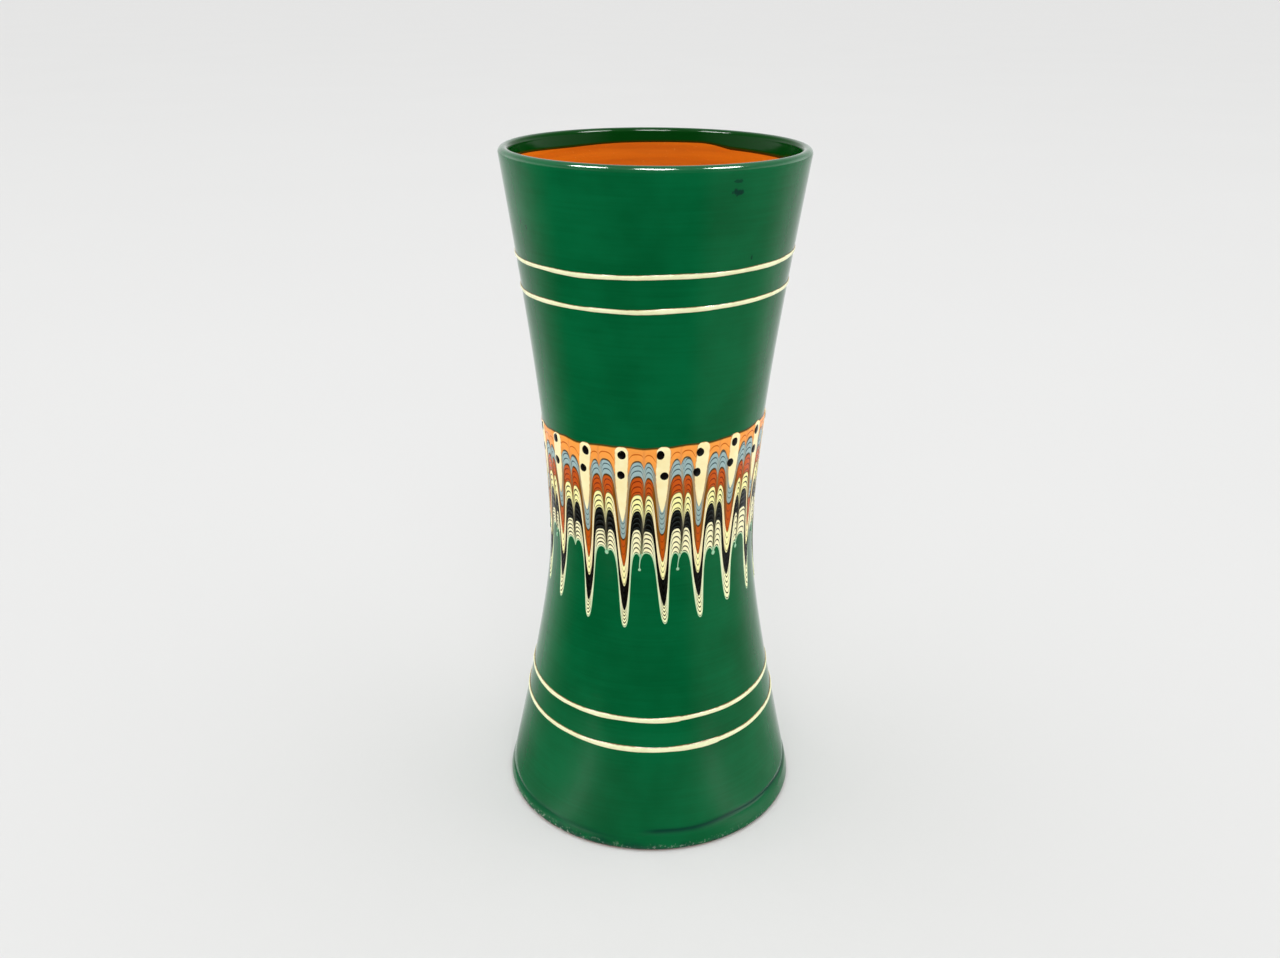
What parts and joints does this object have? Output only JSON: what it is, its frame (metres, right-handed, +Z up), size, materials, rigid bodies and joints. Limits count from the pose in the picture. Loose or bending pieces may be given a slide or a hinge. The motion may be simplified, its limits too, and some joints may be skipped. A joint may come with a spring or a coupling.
{
  "type": "slip-decorated vase",
  "caption": "Hourglass earthenware vase with a green slip coat, cream ring lines and a wavy waist band dragged into points by cream drops; holds flowers.",
  "frame": {"origin": "centre of the foot's underside, on the table", "axes": "+Z up along the axis on which the vase was turned, -Y towards the side seen in the picture"},
  "size_m": [0.1144, 0.1144, 0.25],
  "materials": {
    "terracotta": "bare fired clay, matte, with faint throwing lines",
    "green_slip": "deep green slip under clear gloss glaze",
    "cream_slip": "cream slip under clear gloss glaze",
    "orange_slip": "orange slip under clear gloss glaze",
    "blue_slip": "blue-grey slip under clear gloss glaze",
    "rust_slip": "rust slip under clear gloss glaze",
    "yellow_slip": "pale yellow slip under clear gloss glaze",
    "black_slip": "black slip under clear gloss glaze"
  },
  "bodies": {
    "root": {"clay_body": "terracotta", "green_slip_coat": "green_slip", "rim_line_upper": "cream_slip", "rim_line_lower": "cream_slip", "foot_line_upper": "cream_slip", "foot_line_lower": "cream_slip", "orange_slip_band": "orange_slip", "blue_slip_band": "blue_slip", "rust_slip_band": "rust_slip", "yellow_slip_band": "yellow_slip", "black_slip_band": "black_slip", "cream_slip_band": "cream_slip", "cream_drop_01": "cream_slip", "cream_drop_02": "cream_slip", "cream_drop_03": "cream_slip", "cream_drop_04": "cream_slip", "cream_drop_05": "cream_slip", "cream_drop_06": "cream_slip", "cream_drop_07": "cream_slip", "cream_drop_08": "cream_slip", "cream_drop_09": "cream_slip", "cream_drop_10": "cream_slip", "cream_drop_11": "cream_slip", "cream_drop_12": "cream_slip", "cream_drop_13": "cream_slip", "cream_drop_14": "cream_slip", "cream_drop_15": "cream_slip", "cream_drop_16": "cream_slip", "cream_drop_17": "cream_slip", "cream_drop_18": "cream_slip"}
  },
  "joints": []
}
